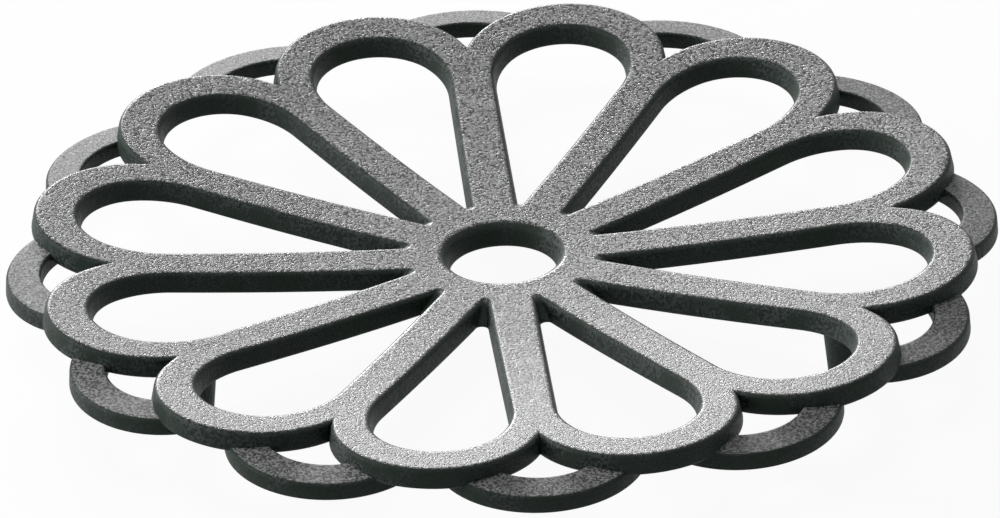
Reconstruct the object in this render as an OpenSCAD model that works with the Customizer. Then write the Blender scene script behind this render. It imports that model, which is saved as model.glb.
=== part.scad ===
// Cast-iron trivet in the form of an open flower, standing on three legs.
// A dished flower of petal loops lies over a ring of shorter petals set half a petal round.
// The origin is on the table under the middle of the trivet, with +Z up. Sizes are millimetres.

/* [Flower] */
// Height of the petal tips above the table
height = 17; // [14:0.5:22]
// Radius over the petal tips
flower_r = 90.4; // [86:0.2:93]
// Depth of the valleys between the petals, below the petal tips' radius
valley_depth = 14.4; // [11:0.2:18]
// Thickness of the flower
flower_t = 4.3; // [3.4:0.1:5.4]
// Height of the petal tips above the middle of the dish
dish_rise = 5.4; // [3.5:0.1:7]
// Width of a spoke, which two neighbouring petals share
spoke_w = 8.9; // [6:0.1:10]
// Width of a petal across its tip
tip_w = 9; // [7:0.1:11]
// Radius of the closed middle, where the petals' openings begin
web_r = 22.1; // [21:0.1:28]

/* [Hub] */
// Radius of the hole
hole_r = 10.8; // [9:0.1:12]
// Width of the ring round the hole
hub_w = 4.8; // [3.5:0.1:6.5]
// Thickness of the hub ring
hub_t = 4.7; // [4.4:0.1:6]
// Bevel at both ends of the hole
hole_bevel = 0.8; // [0.3:0.1:1.2]

/* [Lower petals] */
// Distance that the lower petals stand out past the petal tips' radius
lower_proud = 3.9; // [2.5:0.1:6]
// Degrees round a petal's tip at which a lower petal comes out from under it
lower_turn = 26; // [20:1:32]
// Width of a lower petal's bar
lower_w = 7; // [5:0.1:8]
// Thickness of a lower petal
lower_t = 3.4; // [2.6:0.1:4.2]
// Depth of the lower petals' tops below the flower's tips
lower_drop = 3.7; // [3:0.1:4.6]
// Distance from a lower petal's ends to the openings above them
seat_margin = 2.4; // [1.5:0.1:3.5]

/* [Legs] */
// Distance from a valley in to the middle of the leg under it
leg_inset = 5.8; // [4.6:0.1:8]
// Radius of a leg under the flower
leg_top_r = 4; // [3:0.1:4.4]
// Radius of a leg's foot
leg_foot_r = 3; // [2:0.1:4]

/* [Hidden] */
// Curves are fine enough that a facet stays within a few hundredths
$fn = 180;
arc_fn = 2880;

// The pattern: petals all round, and a leg under every fourth valley
petal_count = 12;
leg_count = 3;
pitch = 360 / petal_count;
half_pitch = pitch / 2;
leg_pitch = 360 / leg_count;
first_leg_turn = 90;

// One overrun for every cutting shape
overrun = 2;

// The dish: its top and underside are parts of two balls with one centre
dish_r = (flower_r * flower_r + dish_rise * dish_rise) / (2 * dish_rise);
dish_centre_z = height - dish_rise + dish_r;
under_r = dish_r + flower_t;
function top_z(r) = dish_centre_z - sqrt(dish_r * dish_r - r * r);
function under_z(r) = dish_centre_z - sqrt(under_r * under_r - r * r);

// The petal's tip is an arc through its tip and both valleys beside it
valley_r = flower_r - valley_depth;
valley_x = valley_r * cos(half_pitch);
tip_x = (flower_r * flower_r - valley_r * valley_r) / (2 * (flower_r - valley_x));
tip_r = flower_r - tip_x;

// The petal's opening is the sector less half a spoke on each side, with rounded ends
open_end_r = flower_r - tip_w;
wide_r = (open_end_r * sin(half_pitch) - spoke_w / 2) / (1 + sin(half_pitch));
wide_x = open_end_r - wide_r;
narrow_r = (web_r * sin(half_pitch) - spoke_w / 2) / (1 - sin(half_pitch));
narrow_x = web_r + narrow_r;

// The lower petal's outer edge is an arc through its own tip and the points where it comes out
lower_reach = flower_r + lower_proud;
exit_turn = half_pitch - lower_turn;
exit_x = tip_x * cos(half_pitch) + tip_r * cos(exit_turn);
exit_y = tip_x * sin(half_pitch) + tip_r * sin(exit_turn);
exit_r = norm([exit_x, exit_y]);
lower_x = (lower_reach * lower_reach - exit_r * exit_r) / (2 * (lower_reach - exit_x));
lower_r = lower_reach - lower_x;
lower_top_z = height - lower_drop;
lower_under_z = lower_top_z - lower_t;

// The hub's flat top is flush with the petals where they meet it
hub_r = hole_r + hub_w;
hub_top_z = top_z(hub_r);
hub_under_z = hub_top_z - hub_t;

// The leg's taper ends at the highest point of its seat
leg_reach = valley_r - leg_inset;
leg_h = under_z(leg_reach + leg_top_r);

iron = [0.42, 0.44, 0.43];

function two_digits(i) = str(i < 10 ? "0" : "", i);
petal_nodes = [for (i = [1:petal_count]) str("petal_", two_digits(i))];
lower_nodes = [for (i = [1:petal_count]) str("lower_petal_", two_digits(i))];
leg_nodes = [for (i = [1:leg_count]) str("leg_", i)];

// One petal's share of the circle, as far out as the given radius
module sector(r) {
    far_x = r * cos(half_pitch);
    far_y = r * sin(half_pitch);
    polygon([[0, 0], [far_x, -far_y], [far_x, far_y]]);
}

// Outer outline of one petal, whose axis is +X
module petal_outline() {
    intersection() {
        sector(2 * flower_r);
        union() {
            sector(valley_r);
            translate([tip_x, 0]) circle(tip_r);
        }
    }
}

// Teardrop opening of one petal
module opening_outline() {
    flank_x = sin(half_pitch);
    flank_y = cos(half_pitch);
    translate([wide_x, 0]) circle(wide_r);
    translate([narrow_x, 0]) circle(narrow_r);
    polygon([
        [wide_x - wide_r * flank_x, wide_r * flank_y],
        [narrow_x - narrow_r * flank_x, narrow_r * flank_y],
        [narrow_x - narrow_r * flank_x, -narrow_r * flank_y],
        [wide_x - wide_r * flank_x, -wide_r * flank_y],
    ]);
}

// Half section of all that lies inside a ball about the dish's centre, from the table up
module bowl_section(r) {
    intersection() {
        translate([0, dish_centre_z]) circle(r, $fn = arc_fn);
        square([lower_reach, height + overrun]);
    }
}

// The dished shell that the petals are cut from
module dish_shell() {
    rotate_extrude() difference() {
        bowl_section(under_r);
        bowl_section(dish_r);
    }
}

// Everything above the flower's underside
module above_underside() {
    rotate_extrude() bowl_section(under_r);
}

// One petal loop, from the hub's side to its tip
module petal_body() {
    intersection() {
        dish_shell();
        linear_extrude(height + overrun) difference() {
            petal_outline();
            opening_outline();
            circle(hub_r);
        }
    }
}

// One lower petal, whose axis is +X, cut away to fit under and against the two petals above it
module lower_petal_body() {
    difference() {
        translate([0, 0, lower_under_z]) linear_extrude(lower_t) difference() {
            translate([lower_x, 0]) circle(lower_r);
            translate([lower_x, 0]) circle(lower_r - lower_w);
            translate([lower_x - 2 * lower_r, -lower_r]) square([2 * lower_r, 2 * lower_r]);
            for (side = [-1, 1]) rotate(side * half_pitch)
                translate([wide_x, 0]) circle(wide_r + seat_margin);
        }
        for (side = [-1, 1]) intersection() {
            above_underside();
            rotate([0, 0, side * half_pitch]) translate([tip_x, 0, 0])
                cylinder(h = height + overrun, r = tip_r);
        }
    }
}

// Thick ring in the middle, with its hole bevelled at both ends
module hub_ring() {
    color(iron) rotate_extrude() polygon([
        [hole_r, hub_under_z + hole_bevel],
        [hole_r + hole_bevel, hub_under_z],
        [hub_r, hub_under_z],
        [hub_r, hub_top_z],
        [hole_r + hole_bevel, hub_top_z],
        [hole_r, hub_top_z - hole_bevel],
    ]);
}

// Petal i of the flower; its flanks are the middles of the spokes beside it
module petal(i) {
    color(iron) rotate([0, 0, half_pitch + pitch * i]) petal_body();
}

// Lower petal i, under the valley before petal i
module lower_petal(i) {
    color(iron) rotate([0, 0, pitch * i]) lower_petal_body();
}

// Tapered leg under a valley, cut to the flower's underside
module leg(i) {
    color(iron) difference() {
        rotate([0, 0, first_leg_turn + leg_pitch * i]) translate([leg_reach, 0, 0])
            cylinder(h = leg_h, r1 = leg_foot_r, r2 = leg_top_r);
        above_underside();
    }
}

hub_ring();
for (i = [0:petal_count - 1]) petal(i);
for (i = [0:petal_count - 1]) lower_petal(i);
for (i = [0:leg_count - 1]) leg(i);
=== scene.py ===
import math

import bmesh
import bpy
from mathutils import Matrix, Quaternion, Vector


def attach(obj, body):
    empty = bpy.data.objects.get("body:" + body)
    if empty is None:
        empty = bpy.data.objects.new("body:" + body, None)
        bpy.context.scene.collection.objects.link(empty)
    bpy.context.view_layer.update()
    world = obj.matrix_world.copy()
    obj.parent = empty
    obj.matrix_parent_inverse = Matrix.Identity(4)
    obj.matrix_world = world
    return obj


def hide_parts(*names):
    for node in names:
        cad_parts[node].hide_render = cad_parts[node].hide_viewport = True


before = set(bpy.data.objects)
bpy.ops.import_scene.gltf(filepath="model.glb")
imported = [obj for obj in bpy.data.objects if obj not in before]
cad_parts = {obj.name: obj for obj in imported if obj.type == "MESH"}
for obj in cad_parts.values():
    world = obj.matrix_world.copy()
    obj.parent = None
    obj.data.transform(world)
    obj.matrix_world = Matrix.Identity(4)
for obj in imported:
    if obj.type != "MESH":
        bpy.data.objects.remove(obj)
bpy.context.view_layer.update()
MM = 0.001

# The flower: twelve petal loops round a hub, cast in grey iron in one dished plate.
# Half a petal is drawn flat and repeated all round, and the plate gets the section that a sand
# mould leaves, with leaning sides and rounded edges. Then it is pressed into its dish.
PETALS = 12
PITCH = math.tau / PETALS
HALF = PITCH / 2
tip_reach = 90.4 * MM
tip_bar = 9.35 * MM
valley_reach = 76.3 * MM
spoke_bar_at_hub = 9.8 * MM
narrow_bow = 1.3 * MM
shoulder_turn = math.radians(70)
shoulder_more = 6.0 * MM
flare = math.radians(15.3)
hub_reach = 14.4 * MM
plate = 4.0 * MM
dish_depth = 5.4 * MM
dish_ease = 0.27
tips_above_table = 17.0 * MM

tip_middle = (tip_reach**2 - valley_reach**2) / (2 * (tip_reach - valley_reach * math.cos(HALF)))
narrow_middle = (spoke_bar_at_hub / 2 + narrow_bow) / math.sin(HALF)
flank_side = narrow_middle * math.sin(flare) - narrow_bow
wide_bow = (
    (tip_reach - tip_bar) * math.sin(flare)
    - flank_side
    - shoulder_more * (1 - math.sin(shoulder_turn - flare))
) / (1 + math.sin(flare))
wide_middle = tip_reach - tip_bar - wide_bow
shoulder_x = wide_middle - shoulder_more * math.cos(shoulder_turn)
shoulder_y = -shoulder_more * math.sin(shoulder_turn)


def dish_top(reach):
    """Height of the flower's top above the table, at a distance from the middle."""
    share = (reach / tip_reach) ** 2
    return tips_above_table - dish_depth + dish_depth * share * (1 + dish_ease - dish_ease * share)


def point(name, place):
    """A new piece that is one point so far, picked and in edit mode."""
    bpy.ops.object.select_all(action="DESELECT")
    bpy.ops.mesh.primitive_circle_add(vertices=3, radius=MM, location=place)
    piece = bpy.context.object
    piece.name = name
    piece.data.name = name
    bpy.ops.object.transform_apply(location=True)
    bpy.ops.object.mode_set(mode="EDIT")
    bpy.ops.mesh.select_mode(type="VERT")
    bpy.ops.mesh.select_all(action="SELECT")
    bpy.ops.mesh.merge(type="CENTER")
    return piece


def line(x, y, z=0.0, steps=1):
    """Draws on from what is picked, in equal straight steps."""
    for _ in range(steps):
        bpy.ops.mesh.extrude_region_move(
            TRANSFORM_OT_translate={"value": (x / steps, y / steps, z / steps)}
        )


def arc(turn, steps, x=0.0, y=0.0):
    """Draws on round a point of the table, anticlockwise where the turn is positive."""
    bpy.ops.mesh.spin(steps=steps, angle=-turn, center=(x, y, 0), axis=(0, 0, 1))


def pick(kind, test):
    """Picks the points, edges or faces of the piece in hand that pass the test."""
    bpy.ops.mesh.select_mode(type=kind)
    bpy.ops.mesh.select_all(action="DESELECT")
    mesh = bmesh.from_edit_mesh(bpy.context.object.data)
    for part in {"VERT": mesh.verts, "EDGE": mesh.edges, "FACE": mesh.faces}[kind]:
        part.select_set(test(part))
    mesh.select_flush_mode()
    bmesh.update_edit_mesh(bpy.context.object.data)


# Points nearer to each other than this are one point
one_place = 0.01 * MM


def weld():
    """Merges what lies in one place."""
    bpy.ops.mesh.select_all(action="SELECT")
    bpy.ops.mesh.remove_doubles(threshold=one_place)


tip_turn = math.atan2(
    valley_reach * math.sin(HALF), valley_reach * math.cos(HALF) - tip_middle
)
flower = point("flower", (hub_reach, 0, 0))
arc(HALF, 10)
spoke = valley_reach - hub_reach
line(spoke * math.cos(HALF), spoke * math.sin(HALF))
arc(-tip_turn, 20, tip_middle)
line(-tip_bar, 0)
arc(shoulder_turn, 20, wide_middle)
arc(math.pi / 2 + flare - shoulder_turn, 12, shoulder_x, shoulder_y)
flank = (shoulder_x - narrow_middle) * math.cos(flare) + shoulder_y * math.sin(flare)
line(-flank * math.cos(flare), -flank * math.sin(flare))
arc(math.pi / 2 - flare, 12, narrow_middle)
line(hub_reach - narrow_middle + narrow_bow, 0)
weld()
bpy.ops.mesh.edge_face_add()

# Cuts across the spoke, and across the tip's bar, let the plate bend into its dish
spoke_cuts = [reach * MM for reach in (26, 31, 37, 43, 49, 55, 61)]
tip_cuts = [math.radians(turn) for turn in (22.5, 45, 97.5)]
for reach in spoke_cuts:
    bpy.ops.mesh.select_all(action="SELECT")
    bpy.ops.mesh.bisect(plane_co=(reach, 0, 0), plane_no=(1, 0, 0))
for turn in tip_cuts:
    bpy.ops.mesh.select_all(action="SELECT")
    bpy.ops.mesh.bisect(
        plane_co=(wide_middle, 0, 0), plane_no=(-math.sin(turn), math.cos(turn), 0)
    )

# The disc inside the hub's circle is there only until the edges are rounded
pick("EDGE", lambda e: all(v.co.xy.length < hub_reach + one_place for v in e.verts))
bpy.ops.mesh.extrude_region()
bpy.ops.transform.resize(value=(0, 0, 0), center_override=(0, 0, 0))
weld()
bpy.ops.mesh.duplicate()
bpy.ops.transform.resize(value=(1, -1, 1), center_override=(0, 0, 0))
weld()
bpy.ops.mesh.spin(
    steps=PETALS - 1, dupli=True, angle=math.tau - PITCH, center=(0, 0, 0), axis=(0, 0, 1)
)
weld()
bpy.ops.mesh.normals_make_consistent(inside=False)

# Sides: an upright band, the lean that lets the pattern leave the sand, and a rounded edge
band_low = 0.45 * MM
band_high = 0.8 * MM
lean = 0.45 * MM
top_round = (0.95 * MM, 1.0 * MM)
foot_round = (0.4 * MM, band_low)
flat_rim = 0.3 * MM
ROUND_STEPS = 6
# The upward part of a face's normal from which the face counts as level
LEVEL = 0.9


def step_in(width, rise):
    """Draws the picked faces in from their border, and lifts them along their normal."""
    bpy.ops.mesh.inset(thickness=width, depth=rise, use_boundary=True, use_even_offset=True)


def round_off(width, rise):
    """A quarter round from the side to the face, and a narrow flat rim inside it."""
    for step in range(ROUND_STEPS):
        low, high = (math.pi / 2 * k / ROUND_STEPS for k in (step, step + 1))
        step_in(
            width * (math.cos(low) - math.cos(high)), rise * (math.sin(high) - math.sin(low))
        )
    step_in(flat_rim, 0)


bpy.ops.mesh.select_all(action="SELECT")
bpy.ops.mesh.extrude_region_move(TRANSFORM_OT_translate={"value": (0, 0, band_high - band_low)})
weld()
bpy.ops.mesh.normals_make_consistent(inside=False)
pick("FACE", lambda f: f.normal.z > LEVEL)
step_in(lean, plate - band_high - top_round[1])
round_off(*top_round)
pick("FACE", lambda f: f.normal.z < -LEVEL)
round_off(*foot_round)

# What lies inside the hub's circle is taken out again, and the circle gets a wall
pick("FACE", lambda f: f.calc_center_median().xy.length < hub_reach)
bpy.ops.mesh.delete(type="FACE")
pick("EDGE", lambda e: e.is_boundary)
bpy.ops.mesh.bridge_edge_loops()


class Shade:
    """A socket of a material. Sums written with it add Math nodes."""

    def __init__(self, tree, socket=None):
        self.tree = tree
        self.socket = socket

    def node(self, kind, settings, inputs, out=0):
        """Adds a node, its settings first, then the values or links of its sockets."""
        made = self.tree.nodes.new(kind)
        for name, value in settings.items():
            setattr(made, name, value)
        for name, value in inputs.items():
            if isinstance(value, Shade):
                self.tree.links.new(value.socket, made.inputs[name])
            else:
                made.inputs[name].default_value = value
        return Shade(self.tree, made.outputs[out] if made.outputs else None)

    def maths(self, operation, first, second):
        return self.node("ShaderNodeMath", {"operation": operation}, {0: first, 1: second})

    def __add__(self, other):
        return self.maths("ADD", self, other)

    def __sub__(self, other):
        return self.maths("SUBTRACT", self, other)

    def __rsub__(self, other):
        return self.maths("SUBTRACT", other, self)

    def __mul__(self, other):
        return self.maths("MULTIPLY", self, other)

    __radd__ = __add__
    __rmul__ = __mul__

    def between(self, low, high):
        """0 below low, 1 above high, and smooth between them."""
        return self.node(
            "ShaderNodeMapRange",
            {"interpolation_type": "SMOOTHSTEP"},
            {"Value": self, "From Min": low, "From Max": high},
        )

    def blend(self, low, high):
        """The colour low where this is 0 and high where it is 1."""
        return self.node(
            "ShaderNodeMix", {"data_type": "RGBA"}, {0: self, 6: low, 7: high}, out=2
        )


def cast_iron(name, darkest, brightest, sheen):
    """Grey iron with a grainy skin, its colour pale where it faces upward and dark green-black on its
    sides: painted light and shade, standing in for the lamps' sheen on its tops.
    """
    made = bpy.data.materials.new(name)
    made.use_nodes = True
    made.node_tree.nodes.clear()
    iron = Shade(made.node_tree)
    place = iron.node("ShaderNodeTexCoord", {}, {}, out="Object")
    facing = iron.node("ShaderNodeTexCoord", {}, {}, out="Normal")

    def noise(scale, detail):
        return iron.node(
            "ShaderNodeTexNoise", {}, {"Vector": place, "Scale": scale, "Detail": detail}
        )

    # Painted light and shade: faces that look upward get the pale face colour, the rest get the dark
    # side colour
    painted_light_up = iron.node("ShaderNodeSeparateXYZ", {}, {0: facing}, out="Z").between(0.89, 0.985)
    grains = noise(1700, 0.0).between(0.45, 0.55)
    dust = noise(2600, 0.0).between(0.46, 0.54)
    # Painted shade: the small pits, dented by the bump, are also painted near-black
    shaded_pits = noise(2200, 0.0).between(0.70, 0.74)
    # Painted highlights: bright specks laid into the face colour, and also raised a little in the
    # bump
    painted_glints = noise(2100, 0.0).between(0.67, 0.72)
    patches = noise(140, 3.0).between(0.42, 0.66)
    tone = grains * 0.7 + dust * 0.3
    face_colour = tone.blend((darkest, darkest, darkest, 1), (brightest, brightest, brightest, 1))
    face_colour = painted_glints.blend(face_colour, (0.70, 0.70, 0.70, 1))
    face_colour = shaded_pits.blend(face_colour, (0.012, 0.013, 0.012, 1))
    side_colour = tone.blend((0.004, 0.009, 0.007, 1), (0.112, 0.138, 0.130, 1))
    side_colour = patches.blend(side_colour, (0.022, 0.036, 0.026, 1))
    grain = tone * 0.8 + painted_glints * 0.5 - shaded_pits * 0.6
    bump = iron.node(
        "ShaderNodeBump", {}, {"Strength": 0.4, "Distance": 0.08 * MM, "Height": grain}
    )
    face = iron.node(
        "ShaderNodeBsdfPrincipled",
        {},
        {
            "Base Color": face_colour,
            "Roughness": sheen + 0.12 * tone,
            "Specular IOR Level": 0.25,
            "Normal": bump,
        },
    )
    side = iron.node(
        "ShaderNodeBsdfPrincipled",
        {},
        {
            "Base Color": side_colour,
            "Roughness": 0.50 + 0.15 * tone,
            "Specular IOR Level": 0.2,
            "Normal": bump,
        },
    )
    surface = iron.node("ShaderNodeMixShader", {}, {0: painted_light_up, 1: side, 2: face})
    iron.node("ShaderNodeOutputMaterial", {}, {"Surface": surface})
    return made


# The petals' and hub's iron: its pale tops are painted light and its dark sides painted shade
iron_painted_lit_tops = cast_iron("iron_painted_lit_tops", 0.008, 0.37, 0.25)
true_corner = math.radians(38)


def finish_piece(piece, node, iron):
    """Normals out, smooth but for true corners, iron, and in the place of its solid."""
    bpy.ops.object.mode_set(mode="OBJECT")
    bpy.ops.object.select_all(action="DESELECT")
    bpy.context.view_layer.objects.active = piece
    piece.select_set(True)
    bpy.ops.object.transform_apply(location=True, rotation=True, scale=True)
    bpy.ops.object.mode_set(mode="EDIT")
    weld()
    bpy.ops.mesh.normals_make_consistent(inside=False)
    bpy.ops.object.mode_set(mode="OBJECT")
    bpy.ops.object.shade_smooth_by_angle(angle=true_corner)
    piece.data.materials.clear()
    piece.data.materials.append(iron)
    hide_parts(node)
    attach(piece, "root")


def round_copies(piece, names, first_turn, iron):
    """The piece and its turned copies, evenly spaced all round, each with its own mesh."""
    bpy.ops.object.mode_set(mode="OBJECT")
    pieces = [piece]
    for _ in names[1:]:
        bpy.ops.object.select_all(action="DESELECT")
        piece.select_set(True)
        bpy.context.view_layer.objects.active = piece
        bpy.ops.object.duplicate()
        pieces.append(bpy.context.object)
    for number, (made, name) in enumerate(zip(pieces, names)):
        made.rotation_euler.z = first_turn + number * math.tau / len(names)
        made.name = "cast_" + name
        made.data.name = made.name
        finish_piece(made, name, iron)


# One petal is taken from the plate, closed where it meets its neighbours, and dished
pick("FACE", lambda f: abs(math.atan2(f.calc_center_median().y, f.calc_center_median().x)) > HALF)
bpy.ops.mesh.delete(type="FACE")
bpy.ops.mesh.select_all(action="SELECT")
bpy.ops.mesh.fill_holes(sides=0)
bpy.ops.object.mode_set(mode="OBJECT")

# The opening's hub end runs out to a sharp groove at the top, as the flanks lean back
full_inset = lean + top_round[0] + flat_rim
groove_reach = 17.5 * MM
# How far off a line, and off a ring or an arc, a point may lie and still count as on it
off_line = 0.001 * MM
off_ring = 0.02 * MM
for v in flower.data.vertices:
    arm = v.co.xy - Vector((narrow_middle, 0))
    inset = arm.length - narrow_bow
    at_end = arm.x < off_line - math.sin(flare) * arm.length
    if at_end and inset < full_inset + off_ring:
        left = max(0, 1 - inset / full_inset) ** 3
        end = groove_reach + (narrow_middle - narrow_bow - groove_reach) * left
        half_bar = flank_side - inset
        bow = (end * math.sin(flare) - half_bar) / (1 - math.sin(flare))
        v.co.xy = Vector((end + bow, 0)) + arm * (bow / arm.length)
for v in flower.data.vertices:
    v.co.z += dish_top(v.co.xy.length) - plate + band_low
round_copies(flower, [f"petal_{i:02d}" for i in range(1, PETALS + 1)], HALF, iron_painted_lit_tops)

# The hub ring: a thicker round boss in the middle of the casting, with a hole to hang it by.
# The hole's upper edge is rounded off most, and it leans open towards the top.
hub_low = 7.1 * MM
hole_reach = 10.0 * MM
hole_lean = 0.9 * MM
hole_round = 1.5 * MM
hub_foot_bevel = 0.7 * MM
lip_reach = hole_reach + hole_lean
knee_reach = 12.7 * MM
hub = point("hub", (hub_reach, 0, hub_low))
line(hole_reach - hub_reach, 0, 0)
line(hole_lean, 0, dish_top(lip_reach) - hub_low)
for near, far in ((lip_reach, knee_reach), (knee_reach, hub_reach)):
    line(far - near, 0, dish_top(far) - dish_top(near))
weld()
bpy.ops.mesh.edge_face_add()
bpy.ops.mesh.delete(type="ONLY_FACE")
bpy.ops.mesh.select_all(action="SELECT")
arc(math.tau, 240)
weld()
bpy.ops.mesh.normals_make_consistent(inside=False)


def on_ring(e, reach, height):
    """Whether an edge lies on a level ring of this radius."""
    return all(
        abs(v.co.xy.length - reach) < off_ring and abs(v.co.z - height) < off_ring
        for v in e.verts
    )


pick("EDGE", lambda e: on_ring(e, lip_reach, dish_top(lip_reach)))
bpy.ops.mesh.bevel(offset=hole_round, segments=8)
pick("EDGE", lambda e: on_ring(e, hole_reach, hub_low) or on_ring(e, hub_reach, hub_low))
bpy.ops.mesh.bevel(offset=hub_foot_bevel, segments=4)
bpy.ops.object.mode_set(mode="OBJECT")
hub.name = "cast_hub_ring"
finish_piece(hub, "hub_ring", iron_painted_lit_tops)

# The lower petals: twelve short flat loops under the valleys, part of the same casting.
# Each is a bar swept round an arc, let in under the petals beside it, and it falls a little outwards.
lower_reach = 94.1 * MM
lower_middle = 75.8 * MM
lower_bar = 7.0 * MM
lower_top = 13.6 * MM
lower_low = 10.3 * MM
lower_lean = 0.2 * MM
lower_turn = math.radians(64)
lower_spread = 1.09
lower_slope = -0.095
level_reach = 90 * MM
margin = 1.1 * MM
lower_top_bevel = 0.6 * MM
lower_foot_bevel = 0.4 * MM
lower = point("lower_petal", (lower_reach - lower_bar, 0, lower_low))
line(margin, 0)
line(lower_bar - 2 * margin, 0, 0, steps=2)
line(margin, 0)
line(-lower_lean, 0, lower_top - lower_low)
line(-margin, 0)
line(2 * (lower_lean + margin) - lower_bar, 0, 0, steps=8)
line(-margin, 0)
line(-lower_lean, 0, lower_low - lower_top)
weld()
bpy.ops.mesh.edge_face_add()
bpy.ops.mesh.duplicate()
arc(lower_turn, 44, lower_middle)
pick("FACE", lambda f: all(abs(v.co.y) < off_line for v in f.verts))
bpy.ops.mesh.delete(type="FACE")
bpy.ops.mesh.select_all(action="SELECT")
bpy.ops.mesh.duplicate()
bpy.ops.transform.resize(value=(1, -1, 1), center_override=(0, 0, 0))
weld()
bpy.ops.mesh.normals_make_consistent(inside=False)


def on_bar(e, reach, height):
    """Whether an edge follows the bar at this distance from the arc's middle."""
    middle = Vector((lower_middle, 0))
    return all(
        abs((v.co.xy - middle).length - reach) < off_ring and abs(v.co.z - height) < off_ring
        for v in e.verts
    )


outer = lower_reach - lower_middle
pick(
    "EDGE",
    lambda e: on_bar(e, outer - lower_lean, lower_top)
    or on_bar(e, outer - lower_bar + lower_lean, lower_top),
)
bpy.ops.mesh.bevel(offset=lower_top_bevel, segments=5)
pick("EDGE", lambda e: on_bar(e, outer, lower_low) or on_bar(e, outer - lower_bar, lower_low))
bpy.ops.mesh.bevel(offset=lower_foot_bevel, segments=3)
bpy.ops.mesh.select_all(action="SELECT")
bpy.ops.transform.resize(value=(1, lower_spread, 1), center_override=(0, 0, 0))
bpy.ops.object.mode_set(mode="OBJECT")
for v in lower.data.vertices:
    v.co.z += lower_slope * (v.co.xy.length - level_reach)
# A rougher copy of the iron for the lower petals and legs, painted paler to make up for the lesser
# light on the lower petals
dull_iron_painted_paler = cast_iron("dull_iron_painted_paler", 0.06, 0.54, 0.52)
round_copies(lower, [f"lower_petal_{i:02d}" for i in range(1, PETALS + 1)], 0, dull_iron_painted_paler)

# The legs: three tapered iron studs under every fourth spoke, part of the same casting.
# Their feet are rounded at the edge, and their roots widen where they run into the plate.
leg_reach = 70.2 * MM
leg_foot = 3.0 * MM
leg_root = 3.95 * MM
leg_long = 10.2 * MM
leg_flare = 0.55 * MM
leg_foot_bevel = 0.7 * MM
root_rise = 0.28 * MM
ROOT_STEPS = 4
bpy.ops.object.select_all(action="DESELECT")
bpy.ops.mesh.primitive_cone_add(
    vertices=64, radius1=leg_foot, radius2=leg_root, depth=leg_long,
    location=(leg_reach, 0, leg_long / 2),
)
leg = bpy.context.object
bpy.ops.object.transform_apply(location=True)
bpy.ops.object.mode_set(mode="EDIT")
pick("FACE", lambda f: f.normal.z < -LEVEL)
bpy.ops.mesh.bevel(offset=leg_foot_bevel, segments=4)
pick("FACE", lambda f: f.normal.z > LEVEL)
for step in range(ROOT_STEPS):
    bpy.ops.mesh.extrude_region_move(TRANSFORM_OT_translate={"value": (0, 0, root_rise)})
    wider = 1 + leg_flare / leg_root * (2 * step + 1) / ROOT_STEPS**2
    bpy.ops.transform.resize(value=(wider, wider, 1), center_override=(leg_reach, 0, leg_long))
bpy.ops.object.mode_set(mode="OBJECT")
round_copies(leg, ["leg_1", "leg_2", "leg_3"], math.pi / 2, dull_iron_painted_paler)

# The table: a pale floor that fades into a white room, and keeps the trivet's shadow.
# Three soft lamps stand behind, to the left and above.
floor_wide = 30
bpy.ops.object.select_all(action="DESELECT")
bpy.ops.mesh.primitive_plane_add(size=floor_wide, location=(0, 0, 0))
floor = bpy.context.object
floor.name = "floor"
paper = bpy.data.materials.new("pale_floor")
paper.use_nodes = True
paper.node_tree.nodes.clear()
paper_nodes = Shade(paper.node_tree)


def seen(nodes):
    """1 for what the camera sees, itself or in gloss or glass."""
    rays = [
        nodes.node("ShaderNodeLightPath", {}, {}, out=name)
        for name in ("Is Camera Ray", "Is Glossy Ray", "Is Transmission Ray")
    ]
    return nodes.maths("MAXIMUM", nodes.maths("MAXIMUM", rays[0], rays[1]), rays[2])


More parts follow.
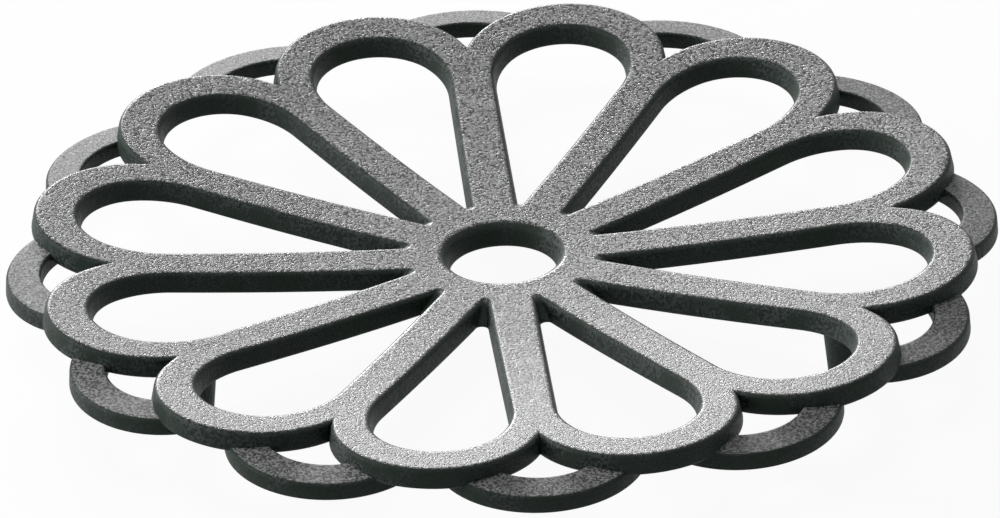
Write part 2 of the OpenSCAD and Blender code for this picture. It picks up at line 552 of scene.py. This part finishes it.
look = seen(paper_nodes)
paper_colour = look.blend((0.06, 0.06, 0.06, 1), (0.10, 0.10, 0.10, 1))
paper_nodes.node(
    "ShaderNodeOutputMaterial",
    {},
    {
        "Surface": paper_nodes.node(
            "ShaderNodeBsdfPrincipled",
            {},
            {
                "Base Color": paper_colour,
                "Roughness": 0.9,
                "Specular IOR Level": 0.0,
                "Emission Color": look.blend((0, 0, 0, 1), (0.94, 0.94, 0.94, 1)),
                "Emission Strength": 1.0,
            },
        )
    },
)
floor.data.materials.append(paper)

world = bpy.data.worlds.new("room")
bpy.context.scene.world = world
world.use_nodes = True
world.node_tree.nodes.clear()
room = Shade(world.node_tree)
look = seen(room)
air = room.node(
    "ShaderNodeBackground",
    {},
    {"Color": look.blend((0.035, 0.037, 0.039, 1), (1, 1, 1, 1)), "Strength": 1.0},
)
room.node("ShaderNodeOutputWorld", {}, {"Surface": air})


def softbox(name, place, size, power):
    """A soft lamp that faces the trivet."""
    bpy.ops.object.light_add(type="AREA", location=place)
    lamp = bpy.context.object
    lamp.name = name
    lamp.data.shape = "RECTANGLE"
    lamp.data.size, lamp.data.size_y = size
    lamp.data.energy = power
    lamp.rotation_euler = (-Vector(place)).to_track_quat("-Z", "Y").to_euler()


softbox("lamp_back", (-0.25, 2.4, 0.60), (0.9, 0.3), 39.0)
softbox("lamp_left", (-1.26, 0.28, 0.36), (1.7, 0.6), 12.5)
softbox("lamp_top", (-0.3, 0.5, 1.50), (0.6, 0.6), 3.5)

# The camera stands where the photograph was taken, with a long lens, and leans a little.
looks_at = Vector((0, 0, 11.6 * MM))
rise = math.radians(29.61)
turn = math.radians(-4.24)
tilt = math.radians(2.02)
far_off = 2.3794
aim_left = 0.55 * MM
aim_down = 1.15 * MM
back = Vector(
    (math.sin(turn) * math.cos(rise), -math.cos(turn) * math.cos(rise), math.sin(rise))
)
across = Vector((math.cos(turn), math.sin(turn), 0))
aim = looks_at - aim_left * across - aim_down * back.cross(across)
camera = bpy.data.objects.new("camera", bpy.data.cameras.new("camera"))
bpy.context.collection.objects.link(camera)
camera.location = looks_at + far_off * back
level = (aim - camera.location).to_track_quat("-Z", "Y")
camera.rotation_euler = (level @ Quaternion((0, 0, 1), -tilt)).to_euler()
camera.data.lens = 453.5
camera.data.sensor_width = 36
camera.data.clip_end = 100
bpy.context.scene.camera = camera
bpy.context.scene.view_settings.view_transform = "Standard"
